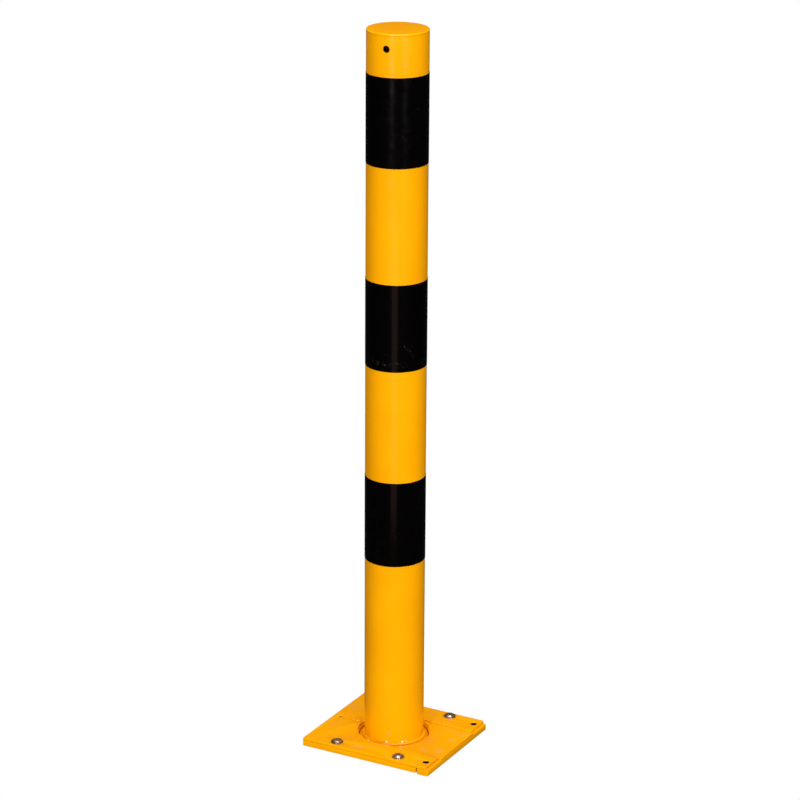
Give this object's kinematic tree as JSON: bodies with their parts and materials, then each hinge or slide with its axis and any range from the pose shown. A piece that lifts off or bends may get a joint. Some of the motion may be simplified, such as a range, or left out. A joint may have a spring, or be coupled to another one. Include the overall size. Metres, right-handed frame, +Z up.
{
  "type": "retractable bollard",
  "caption": "Round steel post in yellow with black bands that sinks into a ground sleeve through a two-layer base plate with a pull-out slide.",
  "frame": {"origin": "on the post's axis at ground level, which is the underside of the base frame", "axes": "+Z up along the post, +X the way the slide pulls out, +Y towards the back of the base"},
  "size_m": [0.1815, 0.16, 2.0666],
  "materials": {
    "yellow_powder_coat": "semi-gloss powder coat",
    "black_film": "glossy self-adhesive film",
    "galvanised_steel": "hot-dip galvanised",
    "stainless_steel": "cold-headed stainless steel",
    "black_oxide_steel": "black oxide",
    "black_rubber": "moulded rubber",
    "white_nylon": "turned cast nylon"
  },
  "bodies": {
    "base": {"base_frame": "yellow_powder_coat", "top_plate": "yellow_powder_coat", "top_plate_screws": "stainless_steel", "screw_washers": "stainless_steel", "weld_nuts": "galvanised_steel", "slide_clamp_screws": "black_oxide_steel", "small_plate_screw": "yellow_powder_coat", "locating_pin": "black_oxide_steel", "sleeve_tube": "galvanised_steel", "sleeve_bottom_plate": "galvanised_steel", "drain_stub": "galvanised_steel", "sleeve_anchors": "galvanised_steel", "sleeve_gussets": "galvanised_steel", "upper_stop_ring": "galvanised_steel", "locking_ledges": "galvanised_steel", "turn_stops": "galvanised_steel", "rubber_buffer": "black_rubber"},
    "slide": {"slide_tongue": "yellow_powder_coat", "slide_bar": "yellow_powder_coat"},
    "guide": {"guide_shoe": "white_nylon"},
    "post": {"post_tube": "yellow_powder_coat", "head_cap": "yellow_powder_coat", "black_band_upper": "black_film", "black_band_middle": "black_film", "black_band_lower": "black_film", "post_collar": "yellow_powder_coat", "locking_lugs": "galvanised_steel", "foot_plug": "galvanised_steel", "shoe_washer": "galvanised_steel", "shoe_bolt": "galvanised_steel"}
  },
  "joints": [
    {"name": "post_lift", "type": "slide", "parent": "base", "child": "guide", "axis": [0, 0, 1], "range_m": [-0.916, 0]},
    {"name": "post_turn", "type": "hinge", "parent": "guide", "child": "post", "pos_m": [0, 0, -0.15], "axis": [0, 0, 1], "range_deg": [0, 90]},
    {"name": "slide_pull", "type": "slide", "parent": "base", "child": "slide", "axis": [1, 0, 0], "range_m": [0, 0.06]}
  ]
}
